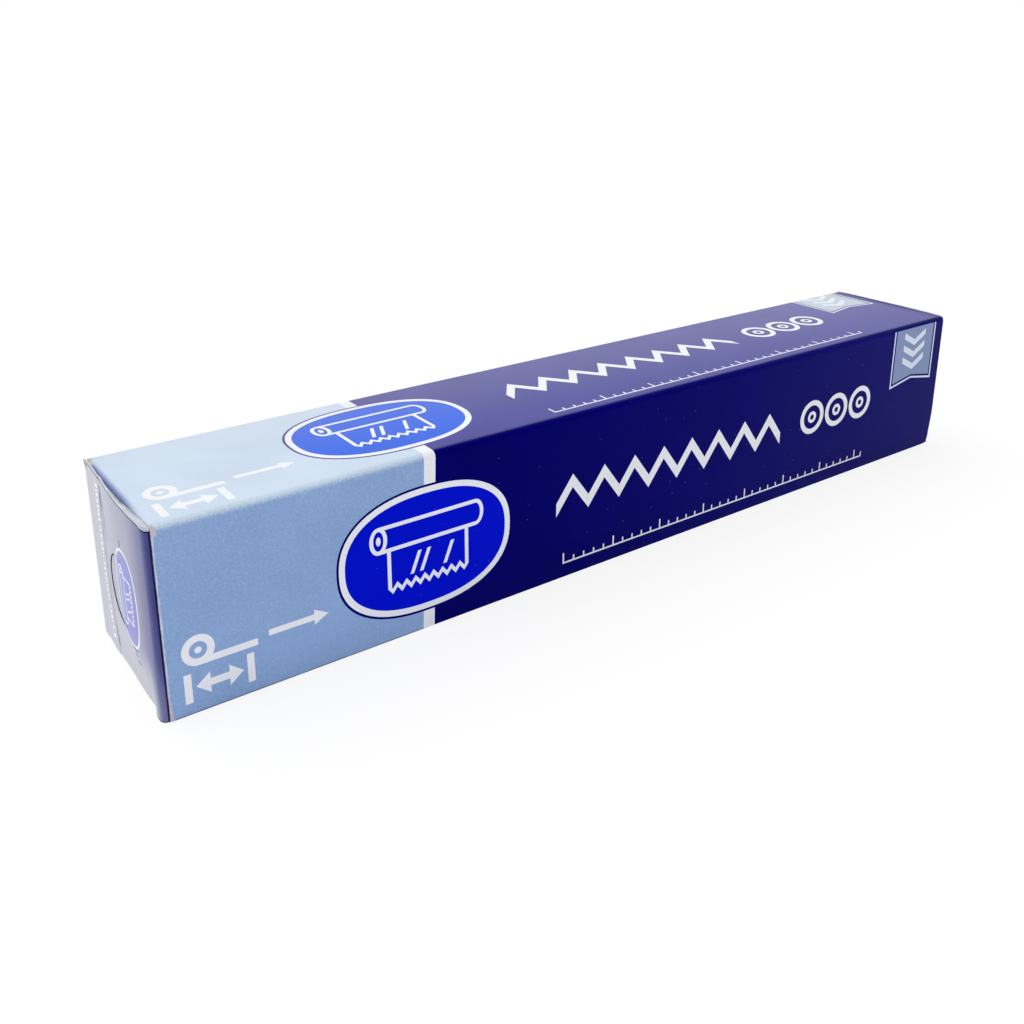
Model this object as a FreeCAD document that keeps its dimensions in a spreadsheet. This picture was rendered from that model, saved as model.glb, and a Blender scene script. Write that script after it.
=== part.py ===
import FreeCAD, Part
import os
import Sketcher
from FreeCAD import Placement, Rotation, Vector

# A retail carton for a roll of kitchen foil, closed and glued shut at the works.
# It can't be seen into, so the carton and what it holds are one solid.
# The origin is under the middle of the carton, on the surface that it stands on.
# X runs along the carton, -Y is the face that carries the lid's front, and Z is up.

NODE = "foil_carton"

# Driving sizes in millimetres, each with the words that say what it measures.
SIZES = (
    ("lid_length", 310.0, "lid board, from raw edge to raw edge"),
    ("carton_depth", 50.8, "front face to back face"),
    ("carton_height", 52.4, "base to the top of the lid"),
    ("board_thickness", 0.5, "folding boxboard"),
    ("fold_radius", 1.8, "outside of the long folds at the top and back"),
    ("base_fold_radius", 0.5, "outside of the fold under the lid's front"),
    ("hem_height", 0.6, "lower raw edge of the lid's front above the base"),
    ("flap_reach", 1.9, "end flap's front fold past the lid's raw edge"),
    ("flap_fold_radius", 1.8, "outside of the end flap's front fold"),
    ("bulge_rise", 0.65, "how far the end flap bows out between fold and ridge"),
    ("ridge_reach", 1.2, "end flap past the lid's raw edge, at the ridge"),
    ("ridge_from_back", 14.8, "ridge over the hidden flap's edge, from the back face"),
    ("ridge_height", 0.3, "step that the hidden flap's edge presses through"),
    ("ridge_width", 0.8, "how wide that step is"),
    ("back_reach", 0.6, "end flap past the lid's raw edge, at the back"),
    ("back_fold_radius", 0.5, "end flap's back edge"),
    ("flap_top_drop", 0.6, "end flap's raw top edge below the top of the lid"),
    ("flap_foot_rise", 0.4, "end flap's raw lower edge above the base"),
    ("tab_radius", 9.5, "middle of the press-in tab's curved cut"),
    ("tab_height", 25.6, "tab's centre above the base"),
    ("tab_from_front", 24.0, "tab's centre from the front face"),
    ("tab_crease_offset", 2.4, "tab's crease in front of its centre"),
    ("tab_cut_width", 0.4, "die-cut line of the tab, across the line"),
    ("tab_cut_depth", 0.5, "die-cut line of the tab, into the board"),
    ("flap_root", 1.0, "how far the end flap's outline runs into the carton, so that they fuse"),
)

# How close an edge must lie to a fold's corner to be that fold.
NEAR = 1e-3
# The least share of the volume that a feature has to add or take away.
SLIGHT = 1e-7
# In an outline, stands for a corner that lies on the sketch's own X axis.
ON_BASE = None

doc = FreeCAD.newDocument(NODE)
sheet = doc.addObject("Spreadsheet::Sheet", "Sizes")
for row, (alias, value, words) in enumerate(SIZES, start=1):
    sheet.set(f"A{row}", alias)
    sheet.set(f"B{row}", str(value))
    sheet.set(f"C{row}", words)
    sheet.setAlias(f"B{row}", alias)
doc.recompute()


def size(alias):
    """A driving size, as a plain number of millimetres."""
    return float(sheet.get(alias))


def value_of(words):
    """What an expression over the sheet's names comes to."""
    if words is ON_BASE:
        return 0.0
    return float(sheet.evalExpression(words.replace("Sizes.", "")))


def plane_of(body, role):
    """One of the body's own origin planes."""
    return next(feature for feature in body.Origin.OriginFeatures if feature.Role == role)


def sketch_on(body, role, name, lift=None):
    """A sketch on an origin plane of the body, raised off it by an expression where one is given."""
    sketch = body.newObject("Sketcher::SketchObject", name)
    sketch.AttachmentSupport = [(plane_of(body, role), "")]
    sketch.MapMode = "FlatFace"
    if lift:
        sketch.setExpression("AttachmentOffset.Base.z", lift)
    return sketch


def pin_point(sketch, geometry, end, name, across, up):
    """Holds one end of a line or arc at a place that two expressions give."""
    X_AXIS = -1
    for kind, words in (("DistanceX", across), ("DistanceY", up)):
        if words is ON_BASE:
            sketch.addConstraint(Sketcher.Constraint("PointOnObject", geometry, end, X_AXIS))
            continue
        index = sketch.addConstraint(Sketcher.Constraint(kind, geometry, end, value_of(words)))
        label = f"{name}_{kind[-1].lower()}"
        sketch.renameConstraint(index, label)
        sketch.setExpression(f"Constraints.{label}", words)


def draw_outline(sketch, corners, arcs):
    """A closed outline. corners are (name, across, up) in order, all expressions.
    arcs gives, for the corner that an arc starts from, the expressions of a point that it passes through."""
    at = [Vector(value_of(across), value_of(up), 0) for _, across, up in corners]
    START, END = 1, 2
    for index, (name, _, _) in enumerate(corners):
        first, last = at[index], at[(index + 1) % len(at)]
        if name not in arcs:
            sketch.addGeometry(Part.LineSegment(first, last))
            continue
        through = Vector(value_of(arcs[name][0]), value_of(arcs[name][1]), 0)
        sketch.addGeometry(Part.Arc(first, through, last))
    # An arc is kept anticlockwise, so its own start can be either end of the stretch.
    ends = []
    for index in range(len(corners)):
        forward = (sketch.getPoint(index, START) - at[index]).Length < NEAR
        ends.append((START, END) if forward else (END, START))
    for index, (name, across, up) in enumerate(corners):
        before = index - 1 if index else len(corners) - 1
        meet = Sketcher.Constraint("Coincident", before, ends[before][1], index, ends[index][0])
        sketch.addConstraint(meet)
        pin_point(sketch, index, ends[index][0], name, across, up)
    for index, (name, _, _) in enumerate(corners):
        if name in arcs:
            across, up = arcs[name]
            point = sketch.addGeometry(Part.Point(Vector(value_of(across), value_of(up), 0)), True)
            pin_point(sketch, point, START, f"{name}_through", across, up)
            sketch.addConstraint(Sketcher.Constraint("PointOnObject", point, START, index))


def volume_after(body):
    """Recomputes the document and gives the body's volume."""
    doc.recompute()
    return body.Shape.Volume


def long_edge(body, across, up):
    """The name of the body's edge that runs along X at the given Y and Z."""
    for index, edge in enumerate(body.Shape.Edges, start=1):
        box = edge.BoundBox
        flat = box.YLength < NEAR and box.ZLength < NEAR
        if flat and abs(box.YMin - across) < NEAR and abs(box.ZMin - up) < NEAR:
            return f"Edge{index}"
    raise RuntimeError(f"no long fold at y {across:.2f}, z {up:.2f}")


def round_folds(body, base, name, corners, radius):
    """Rounds long folds of the body, given by the Y and Z of their sharp corners, to an expression."""
    fillet = body.newObject("PartDesign::Fillet", name)
    fillet.Base = (base, [long_edge(body, across, up) for across, up in corners])
    fillet.setExpression("Radius", radius)
    doc.recompute()
    return fillet


def build_sleeve(body):
    """The four long panels. The lid's board lies over the front panel and ends just above the base."""
    sketch = sketch_on(body, "YZ_Plane", "sleeve_section")
    front, back = "-Sizes.carton_depth / 2", "Sizes.carton_depth / 2"
    under_lid = "-Sizes.carton_depth / 2 + Sizes.board_thickness"
    corners = (
        ("base_front", under_lid, ON_BASE),
        ("hem_inside", under_lid, "Sizes.hem_height"),
        ("hem_outside", front, "Sizes.hem_height"),
        ("lid_front", front, "Sizes.carton_height"),
        ("lid_back", back, "Sizes.carton_height"),
        ("base_back", back, ON_BASE),
    )
    draw_outline(sketch, corners, {})
    sleeve = body.newObject("PartDesign::Pad", "sleeve")
    sleeve.Profile = sketch
    sleeve.Midplane = True
    sleeve.setExpression("Length", "Sizes.lid_length")
    doc.recompute()
    half, tall = size("carton_depth") / 2, size("carton_height")
    upper = ((-half, tall), (half, tall), (half, 0.0))
    folds = round_folds(body, sleeve, "long_folds", upper, "Sizes.fold_radius")
    lower = ((-half + size("board_thickness"), 0.0),)
    # The fold under the lid's front can't be rounder than the strip of board that shows there.
    strip = "min(Sizes.base_fold_radius; 0.95 * Sizes.hem_height)"
    return round_folds(body, folds, "base_fold", lower, strip)


def build_end_flap(body):
    """The stack of glued flaps over the left end, drawn as its outline seen from above.
    The outer flap folds round the front, bows out, and steps over the hidden flap's edge."""
    sketch = sketch_on(body, "XY_Plane", "end_flap_plan", lift="Sizes.flap_foot_rise")
    end = "-Sizes.lid_length / 2"
    front = "-Sizes.carton_depth / 2 + Sizes.board_thickness"
    back = "Sizes.carton_depth / 2"
    # A fold can't be rounder than its board stands out past the lid's raw edge.
    front_round = "min(Sizes.flap_fold_radius; 0.95 * Sizes.flap_reach)"
    back_round = "min(Sizes.back_fold_radius; 0.95 * Sizes.back_reach)"
    fold_end = f"{front} + {front_round}"
    ridge = f"{back} - Sizes.ridge_from_back"
    ridge_top = f"{ridge} + Sizes.ridge_width"
    back_start = f"{back} - {back_round}"
    # The root keeps clear of the long folds, so that none of it shows past them.
    root = f"{end} + Sizes.flap_root"
    root_low = f"{front} + Sizes.fold_radius"
    root_high = f"{back} - Sizes.fold_radius"
    # The point at 45 degrees on a quarter circle lies this share of the radius from its corner.
    share = "(1 - cos(45 deg))"
    corners = (
        ("root_front", root, root_low),
        ("seat_front", end, root_low),
        ("end_front", end, front),
        ("fold_front", f"{end} - Sizes.flap_reach + {front_round}", front),
        ("fold_side", f"{end} - Sizes.flap_reach", fold_end),
        ("ridge_low", f"{end} - Sizes.ridge_reach", ridge),
        ("ridge_high", f"{end} - Sizes.ridge_reach - Sizes.ridge_height", ridge_top),
        ("back_side", f"{end} - Sizes.back_reach", back_start),
        ("back_end", f"{end} - Sizes.back_reach + {back_round}", back),
        ("end_back", end, back),
        ("seat_back", end, root_high),
        ("root_back", root, root_high),
    )
    arcs = {
        "fold_front": (
            f"{end} - Sizes.flap_reach + {share} * {front_round}",
            f"{front} + {share} * {front_round}",
        ),
        "fold_side": (
            f"{end} - (Sizes.flap_reach + Sizes.ridge_reach) / 2 - Sizes.bulge_rise",
            f"({fold_end} + {ridge}) / 2",
        ),
        "back_side": (
            f"{end} - Sizes.back_reach + {share} * {back_round}",
            f"{back} - {share} * {back_round}",
        ),
    }
    draw_outline(sketch, corners, arcs)
    flap = body.newObject("PartDesign::Pad", "end_flap")
    flap.Profile = sketch
    flap.setExpression("Length", "Sizes.carton_height - Sizes.flap_foot_rise - Sizes.flap_top_drop")
    return flap


def build_tab_cut(body):
    """The curved die-cut line of the press-in tab, through the outer flap's board."""
    outermost = "-Sizes.lid_length / 2 - Sizes.ridge_reach - Sizes.bulge_rise"
    sketch = sketch_on(body, "YZ_Plane", "tab_cut_line", lift=outermost)
    middle = "(Sizes.tab_from_front - Sizes.carton_depth / 2)"
    crease = f"{middle} - Sizes.tab_crease_offset"
    outer = "(Sizes.tab_radius + Sizes.tab_cut_width / 2)"
    inner = "(Sizes.tab_radius - Sizes.tab_cut_width / 2)"
    outer_rise = f"sqrt({outer}^2 - Sizes.tab_crease_offset^2)"
    inner_rise = f"sqrt({inner}^2 - Sizes.tab_crease_offset^2)"
    corners = (
        ("outer_low", crease, f"Sizes.tab_height - {outer_rise}"),
        ("outer_high", crease, f"Sizes.tab_height + {outer_rise}"),
        ("inner_high", crease, f"Sizes.tab_height + {inner_rise}"),
        ("inner_low", crease, f"Sizes.tab_height - {inner_rise}"),
    )
    arcs = {
        "outer_low": (f"{middle} + {outer}", "Sizes.tab_height"),
        "inner_high": (f"{middle} + {inner}", "Sizes.tab_height"),
    }
    draw_outline(sketch, corners, arcs)
    cut = body.newObject("PartDesign::Pocket", "tab_cut")
    cut.Profile = sketch
    cut.Reversed = True
    cut.setExpression("Length", "Sizes.tab_cut_depth + Sizes.bulge_rise")
    return cut


def mirror_ends(body, features):
    """The same flaps and tab at the right end."""
    mirror = body.newObject("PartDesign::Mirrored", "right_end")
    mirror.Originals = features
    mirror.MirrorPlane = (plane_of(body, "YZ_Plane"), [""])
    body.Tip = mirror
    doc.recompute()
    return mirror


def check_document(body):
    """Stops the build if any object failed or the finished shape isn't one whole solid."""
    for item in doc.Objects:
        if "Invalid" in item.State or "Error" in item.State:
            raise RuntimeError(f"{item.Name} failed: {item.State}")
    shape = body.Shape
    if shape.isNull() or not shape.isValid() or len(shape.Solids) != 1:
        raise RuntimeError(f"{body.Label} isn't one valid solid")


carton = doc.addObject("PartDesign::Body", NODE)
carton.Label = NODE
doc.recompute()

build_sleeve(carton)
sleeve_volume = volume_after(carton)

flap = build_end_flap(carton)
flap_volume = volume_after(carton)
if flap_volume <= sleeve_volume * (1 + SLIGHT):
    raise RuntimeError("the end flap adds nothing")

cut = build_tab_cut(carton)
cut_volume = volume_after(carton)
if cut_volume >= flap_volume * (1 - SLIGHT):
    raise RuntimeError("the tab's cut removes nothing")

mirror_ends(carton, [flap, cut])
carton.Placement = Placement(Vector(0, 0, 0), Rotation())
doc.recompute()
check_document(carton)

os.makedirs("parts", exist_ok=True)
carton.Shape.exportStep(f"parts/{carton.Label}.step")
box = carton.Shape.BoundBox
print(f"{carton.Label}: {box.XLength:.2f} x {box.YLength:.2f} x {box.ZLength:.2f} mm")
print(f"volume {carton.Shape.Volume:.0f} mm3, tab cut {flap_volume - cut_volume:.2f} mm3")
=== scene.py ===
import math
import random

import bpy
from mathutils import Euler, Matrix, Vector, noise
from mathutils.geometry import delaunay_2d_cdt


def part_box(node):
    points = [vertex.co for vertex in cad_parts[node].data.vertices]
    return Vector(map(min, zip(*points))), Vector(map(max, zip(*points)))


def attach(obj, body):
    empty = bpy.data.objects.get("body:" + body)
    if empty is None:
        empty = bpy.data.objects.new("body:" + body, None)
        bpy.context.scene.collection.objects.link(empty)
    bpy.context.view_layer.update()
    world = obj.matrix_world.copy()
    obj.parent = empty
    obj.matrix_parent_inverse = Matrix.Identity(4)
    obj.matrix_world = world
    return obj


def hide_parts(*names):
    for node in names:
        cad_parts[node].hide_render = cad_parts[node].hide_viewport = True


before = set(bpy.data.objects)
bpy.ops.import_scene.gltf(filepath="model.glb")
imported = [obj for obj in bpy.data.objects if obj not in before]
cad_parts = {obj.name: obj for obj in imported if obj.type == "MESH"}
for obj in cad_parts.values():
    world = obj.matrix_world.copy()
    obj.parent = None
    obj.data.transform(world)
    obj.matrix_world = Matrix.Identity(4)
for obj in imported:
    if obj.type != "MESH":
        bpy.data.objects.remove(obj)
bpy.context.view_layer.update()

# The carton's four long sides are one sheet of folding boxboard, printed and varnished flat, die cut and
# folded: lid front, lid top, back, bottom, and the inner front that the lid's front is glued over.
# Sizes are in millimetres. Its depth and height come from the frame, the rest are the board's own.
MM = 0.001
box_low, box_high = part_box("foil_carton")
LID_LENGTH = 310.0
LID_HALF = LID_LENGTH / 2
DEPTH = (box_high.y - box_low.y) / MM
HEIGHT = (box_high.z - box_low.z) / MM
FRONT_Y = -DEPTH / 2
BOARD = 0.5
FOLD = 1.8
BASE_FOLD = 0.55
GLUE_GAP = 0.03
HEM_RISE = 0.25
INNER_FRONT_Y = FRONT_Y + BOARD + GLUE_GAP
INNER_FRONT_TOP = HEIGHT - 3 * BOARD
FOLD_STEPS = 8
FOLD_SUPPORT = 0.35
GRID_STEP = 6.0
CREASE_ANGLE = 40.0
SAME_POINT = 1e-4
QUARTER = math.pi / 2

# Each panel's flat length in the order that the sheet is folded, and the radius of the fold after it.
PANELS = (
    ("lid_front", HEIGHT - HEM_RISE - FOLD, FOLD),
    ("lid_top", DEPTH - 2 * FOLD, FOLD),
    ("back", HEIGHT - 2 * FOLD, FOLD),
    ("bottom", DEPTH - FOLD - (INNER_FRONT_Y - FRONT_Y) - BASE_FOLD, BASE_FOLD),
    ("inner_front", INNER_FRONT_TOP - BASE_FOLD, 0.0),
)
panel_start = {}
sheet_width = 0.0
for panel, flat, fold in PANELS:
    panel_start[panel] = sheet_width
    sheet_width += flat + QUARTER * fold


def section_at(run):
    """Where the folded sheet's outside is, and the way out of it, at a distance from the lid's hem."""
    point, ahead = Vector((FRONT_Y, HEM_RISE)), Vector((0, 1))
    for _, flat, fold in PANELS:
        out = Vector((-ahead.y, ahead.x))
        if run <= flat or not fold:
            return point + ahead * run, out
        point, run = point + ahead * flat, run - flat
        if run <= QUARTER * fold:
            turn = run / fold
            way = out * math.cos(turn) + ahead * math.sin(turn)
            return point - out * fold + way * fold, way
        point, run = point + (ahead - out) * fold, run - QUARTER * fold
        ahead = Vector((ahead.y, -ahead.x))
    return point, out


def ease(share):
    """A smooth step from 0 to 1."""
    share = min(1.0, max(0.0, share))
    return share * share * (3 - 2 * share)


# The outer end flaps bow out past the lid's ends, step out a hair over a hidden flap's edge, and fall away
# to the back.
FLAP_REACH = 1.9
RIDGE_REACH = 1.2
BOW = 0.65
RIDGE_AT = 36.0
RIDGE_WIDTH = 0.8
RIDGE_STEP = 0.15
BACK_REACH = 0.62
BACK_GAP = 0.15
FLAP_BACK = DEPTH - BACK_GAP
FLAP_START = INNER_FRONT_Y - FRONT_Y + FOLD


def reach(back):
    """How far the outer flap's outside stands past the lid's end, at a distance from the front face."""
    if back <= RIDGE_AT:
        share = max(0.0, (back - FLAP_START) / (RIDGE_AT - FLAP_START))
        return FLAP_REACH + (RIDGE_REACH - FLAP_REACH) * share + 4 * BOW * share * (1 - share)
    if back <= RIDGE_AT + RIDGE_WIDTH:
        return RIDGE_REACH + RIDGE_STEP * ease((back - RIDGE_AT) / RIDGE_WIDTH)
    share = (back - RIDGE_AT - RIDGE_WIDTH) / (FLAP_BACK - RIDGE_AT - RIDGE_WIDTH)
    high = RIDGE_REACH + RIDGE_STEP
    return high + (BACK_REACH - high) * share


# The lid's left edge was pressed down and out over the dust flaps when the end was glued, and its right
# edge curls up a little. The right end leans in at the foot.
PRESS_WIDTH = 2.2
PRESS_DROP = 0.35
OVERHANG = 1.1
OVERHANG_WIDTH = 4.0
OVERHANG_FROM, OVERHANG_GROWS, OVERHANG_ENDS = 6.0, 14.0, 4.0
OVERHANG_CLEAR = 0.06
CURL_WIDTH = 1.9
CURL_RISE = 0.34
CROWN = 0.15
FOOT_LEAN = 1.2
LEAN_HEIGHT = 15.0
LEAN_LENGTH = 40.0


def foot_lean(up):
    """How far the right end is pressed in at a height."""
    return FOOT_LEAN * ease((LEAN_HEIGHT - up) / LEAN_HEIGHT)


def overhang(back):
    """How far the lid's left edge lies out over the dust flaps, behind the outer flap's top edge."""
    spread = OVERHANG * ease((back - OVERHANG_FROM) / OVERHANG_GROWS) * ease((DEPTH - back) / OVERHANG_ENDS)
    return max(0.0, min(spread, reach(back) - BOARD - OVERHANG_CLEAR))


# Corners that were knocked: along the sheet, from the hem, how far round, and how high the board is raised.
KNOCKS = (
    (-LID_HALF, panel_start["lid_top"] - FOLD, 3.0, 0.22),
    (-LID_HALF, panel_start["back"] - FOLD, 3.6, 0.30),
    (-LID_HALF, 0.0, 2.6, 0.18),
)
CRUMPLE_MM = 0.9


def sleeve_place(along, run):
    """The folded sheet's outside, in millimetres, for a place on the flat sheet."""
    (across, up), (out_y, out_z) = section_at(run)
    top_share = (run - panel_start["lid_top"]) / (DEPTH - 2 * FOLD)
    if 0 < top_share < 1:
        middle = math.sin(math.pi * top_share)
        pressed = ease((PRESS_WIDTH - LID_HALF - along) / PRESS_WIDTH)
        curled = ease((CURL_WIDTH - LID_HALF + along) / CURL_WIDTH)
        up -= PRESS_DROP * pressed * math.sqrt(middle)
        up += CURL_RISE * curled * math.sqrt(middle) * (0.5 + 0.5 * top_share)
        up += CROWN * middle * math.cos(math.pi * along / LID_LENGTH)
        along -= overhang(across - FRONT_Y) * ease((OVERHANG_WIDTH - LID_HALF - along) / OVERHANG_WIDTH)
    along -= foot_lean(up) * ease((along - LID_HALF + LEAN_LENGTH) / LEAN_LENGTH)
    at, out = Vector((along, across, up)), Vector((0, out_y, out_z))
    for knock_along, knock_run, radius, rise in KNOCKS:
        near = 1 - math.hypot(along - knock_along, run - knock_run) / radius
        if near > 0:
            at += out * rise * ease(near) * noise.noise(Vector((along, run, 0)) / CRUMPLE_MM)
    return at, out


def cut_sheet(outline, prints, alongs, acrosses):
    """Divides a flat sheet into triangles along every printed edge and grid line.
    Gives the points, and each triangle's corners with the name of its ink."""
    points, edges, loops = [], [], []
    for loop in [outline] + [shape for _, shape in prints]:
        area = sum(a[0] * b[1] - b[0] * a[1] for a, b in zip(loop, loop[1:] + loop[:1]))
        first = len(points)
        points += [Vector(p) for p in (loop if area > 0 else loop[::-1])]
        loops.append(list(range(first, len(points))))
    first, rows = len(points), len(acrosses)
    points += [Vector((a, c)) for a in alongs for c in acrosses]
    for i in range(len(alongs)):
        for j in range(rows):
            here = first + i * rows + j
            if i + 1 < len(alongs):
                edges.append((here, here + rows))
            if j + 1 < rows:
                edges.append((here, here + 1))
    spots, _, triangles, _, _, sources = delaunay_2d_cdt(points, edges, loops, 0, SAME_POINT)
    faces = []
    for corners, source in zip(triangles, sources):
        if 0 in source:
            ink = prints[max(source) - 1][0] if max(source) else "ground"
            faces.append((corners, ink))
    return spots, faces


def fold_sheet(name, sheet, place, thickness, inks, raw, mirrored=False):
    """Folds a cut sheet up into board of the given thickness. inks gives each ink's material.
    Its inner side and its cut edges are raw board."""
    spots, faces = sheet
    used = sorted({i for corners, ink in faces if ink in inks for i in corners})
    number = {i: n for n, i in enumerate(used)}
    outer, inner = [], []
    for i in used:
        at, out = place(spots[i][0], spots[i][1])
        outer.append(at * MM)
        inner.append((at - out * thickness) * MM)
    materials = [raw] + list(dict.fromkeys(inks.values()))
    polygons, slots, sides = [], [], {}
    for corners, ink in faces:
        if ink not in inks:
            continue
        loop = [number[i] for i in (corners[::-1] if mirrored else corners)]
        polygons.append(loop)
        slots.append(materials.index(inks[ink]))
        sides.update(dict.fromkeys(zip(loop, loop[1:] + loop[:1])))
    under = len(outer)
    polygons += [[i + under for i in loop[::-1]] for loop in polygons]
    polygons += [[b, a, a + under, b + under] for a, b in sides if (b, a) not in sides]
    mesh = bpy.data.meshes.new(name)
    mesh.from_pydata(outer + inner, [], polygons)
    for material in materials:
        mesh.materials.append(material)
    slots += [0] * (len(polygons) - len(slots))
    mesh.polygons.foreach_set("material_index", slots)
    mesh.polygons.foreach_set("use_smooth", [True] * len(polygons))
    mesh.set_sharp_from_angle(angle=math.radians(CREASE_ANGLE))
    mesh.update()
    piece = bpy.data.objects.new(name, mesh)
    bpy.context.scene.collection.objects.link(piece)
    return piece


def linear(hex_colour):
    """An sRGB hex colour as Blender's linear red, green, blue and alpha."""
    parts = [int(hex_colour[i:i + 2], 16) / 255 for i in (1, 3, 5)]
    return [c / 12.92 if c <= 0.04045 else ((c + 0.055) / 1.055) ** 2.4 for c in parts] + [1.0]


def add_node(tree, kind, values=None, links=None, **settings):
    """Adds a node with its settings, the values on its sockets, and what is linked to them."""
    node = tree.nodes.new(kind)
    for name, value in settings.items():
        setattr(node, name, value)
    for socket, value in (values or {}).items():
        node.inputs[socket].default_value = value
    for socket, source in (links or {}).items():
        tree.links.new(source, node.inputs[socket])
    return node


def new_material(name):
    """An empty node material, and its tree."""
    material = bpy.data.materials.new(name)
    material.use_nodes = True
    material.node_tree.nodes.clear()
    return material, material.node_tree


# Offset ink on clay-coated boxboard under a thin press varnish. The ink lies flat and dense, and the board's
# fibres show through as a fine mottle. The varnish's soft broad sheen, strongest on the lid's top and on the
# ends, is painted into the colour: each ink has a second, paler colour there, the painted sheen.
VARNISH_ROUGHNESS = 0.34
SIDE_IOR = 1.14
TOP_IOR = 1.36
FIBRE_MM = 0.4
CLOUD_MM = 26.0
SPECK_MM = 3.2
SPECK_EDGE = (0.06, 0.02)
DUST_COLOUR = "#8b89c4"
FIBRE_RANGE = (0.3, 0.7)
MOTTLE_RANGE = (0.7, 1.3)
PALE_FIBRES = (0.5, 0.72)
RIPPLE, RIPPLE_MM = 0.25, 0.02
SWELL, SWELL_MM = 0.5, 0.25

# On the lid's top the painted sheen starts on the front fold, and fades at the back fold and the curled end.
# On the ends it deepens in steps going back from the front face, sooner near the foot. A grey is painted in
# with the sheen, more towards the back, and painted shade darkens the lid's pressed-down left edge.
FOLD_SHEEN = (-0.2, 2.3, 0.3)
BACK_SHEEN = (HEIGHT - 2.4, HEIGHT - 0.9)
CURL_SHEEN = (LID_HALF - 0.8, LID_HALF - 5.5)
CURL_SHEEN_LEAST = 0.3
PRESS_SHADE = (1.3 - LID_HALF, -0.7 - LID_HALF)
PRESS_SHADE_FRONT = (FRONT_Y + 3.0, FRONT_Y + 20.0)
PRESS_SHADE_BACK = (-(FRONT_Y + 1.0), -(FRONT_Y + 8.0))
SHEEN_GREY = 0.10
SHEEN_GREY_COLOUR = "#c9c9d4"
END_STREAK = 3.0
STREAK_WIDTH, STREAK_LENGTH = 2.6, 60.0
END_LOW = 17.0
END_LOW_GAIN = 3.4
END_SHEENS = ((0.5, 3.7), (2.4, 16.0), (12.0, 44.0))


def per_metre(size_mm):
    """The scale of a pattern whose grain is this many millimetres across, in object coordinates."""
    return 1 / (size_mm * MM)


def blend(tree, share, first, second):
    """A colour between two, each a hex colour or a socket."""
    colours, sockets = {}, {0: share}
    for socket, colour in ((6, first), (7, second)):
        (colours if isinstance(colour, str) else sockets)[socket] = colour
    colours = {socket: linear(colour) for socket, colour in colours.items()}
    return add_node(tree, "ShaderNodeMix", colours, sockets, data_type="RGBA").outputs[2]


def ramp(tree, value, span, low=0.0, high=1.0, kind="LINEAR"):
    """A change from low to high while the value goes over a span."""
    return add_node(tree, "ShaderNodeMapRange", {1: span[0], 2: span[1], 3: low, 4: high}, {0: value},
                    interpolation_type=kind).outputs[0]


def smooth_ramp(tree, value, span, low=0.0, high=1.0, unit=MM):
    """The same with a soft start and end, over a span in millimetres or another unit."""
    return ramp(tree, value, (span[0] * unit, span[1] * unit), low, high, "SMOOTHSTEP")


def reckon(tree, operation, first, second):
    """Two values put together by an operation, the second a socket or a number."""
    values = {} if hasattr(second, "node") else {1: second}
    links = {0: first} if values else {0: first, 1: second}
    return add_node(tree, "ShaderNodeMath", values, links, operation=operation).outputs[0]


def lid_painted_sheen(tree, place, fibre, upright, painted_sheen_colour, from_mm, to_mm, wander, pressed):
    """An ink's colour on the long sides, with a painted sheen on the lid's top. The sheen starts on the front
    fold, on a line that wanders with the fibres: from_mm and to_mm are 0 halfway round it. pressed is the
    painted shade colour along the lid's pressed-down left edge."""
    along, across, up = add_node(tree, "ShaderNodeSeparateXYZ", links={0: place}).outputs
    moved = ramp(tree, fibre, FIBRE_RANGE, -wander * MM, wander * MM)
    round_fold = reckon(tree, "ADD", reckon(tree, "ADD", across, up), moved)
    halfway = FRONT_Y + HEIGHT
    front = smooth_ramp(tree, round_fold, (halfway + from_mm, halfway + to_mm))
    painted_sheen = reckon(tree, "MULTIPLY", front, smooth_ramp(tree, up, BACK_SHEEN))
    painted_sheen = reckon(tree, "MULTIPLY", painted_sheen, smooth_ramp(tree, along, CURL_SHEEN, CURL_SHEEN_LEAST))
    colour = blend(tree, painted_sheen, upright, painted_sheen_colour)
    sheen_grey = reckon(tree, "MULTIPLY", painted_sheen, smooth_ramp(tree, across, (FRONT_Y, -FRONT_Y), 0.0, SHEEN_GREY))
    colour = blend(tree, sheen_grey, colour, SHEEN_GREY_COLOUR)
    if pressed:
        edge = smooth_ramp(tree, along, PRESS_SHADE)
        for span in (PRESS_SHADE_FRONT, PRESS_SHADE_BACK):
            edge = reckon(tree, "MULTIPLY", edge, smooth_ramp(tree, across, span))
        colour = blend(tree, reckon(tree, "MULTIPLY", edge, painted_sheen), colour, pressed)
    return colour


def end_painted_sheen(tree, place, upright, painted_sheen_colour):
    """An ink's colour on the ends with its painted sheen: one paler shade after another going back, in faint
    upright streaks.
    """
    streak = add_node(tree, "ShaderNodeVectorMath",
                      {1: (0.0, per_metre(STREAK_WIDTH), per_metre(STREAK_LENGTH))}, {0: place},
                      operation="MULTIPLY").outputs[0]
    streaks = add_node(tree, "ShaderNodeTexNoise", {"Scale": 1.0, "Detail": 3.0},
                       {"Vector": streak}).outputs[0]
    _, across, up = add_node(tree, "ShaderNodeSeparateXYZ", links={0: place}).outputs
    back = reckon(tree, "ADD", across, reckon(tree, "MULTIPLY", streaks, END_STREAK * MM))
    sooner = smooth_ramp(tree, up, (END_LOW, 0.0), 0.0, END_LOW_GAIN)
    from_front = reckon(tree, "ADD", across, -FRONT_Y * MM)
    back = reckon(tree, "ADD", back, reckon(tree, "MULTIPLY", from_front, sooner))
    colour = upright
    for (first, last), shade in zip(END_SHEENS, painted_sheen_colour):
        share = smooth_ramp(tree, back, (FRONT_Y + first, FRONT_Y + last))
        colour = blend(tree, share, colour, shade)
    return colour


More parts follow.
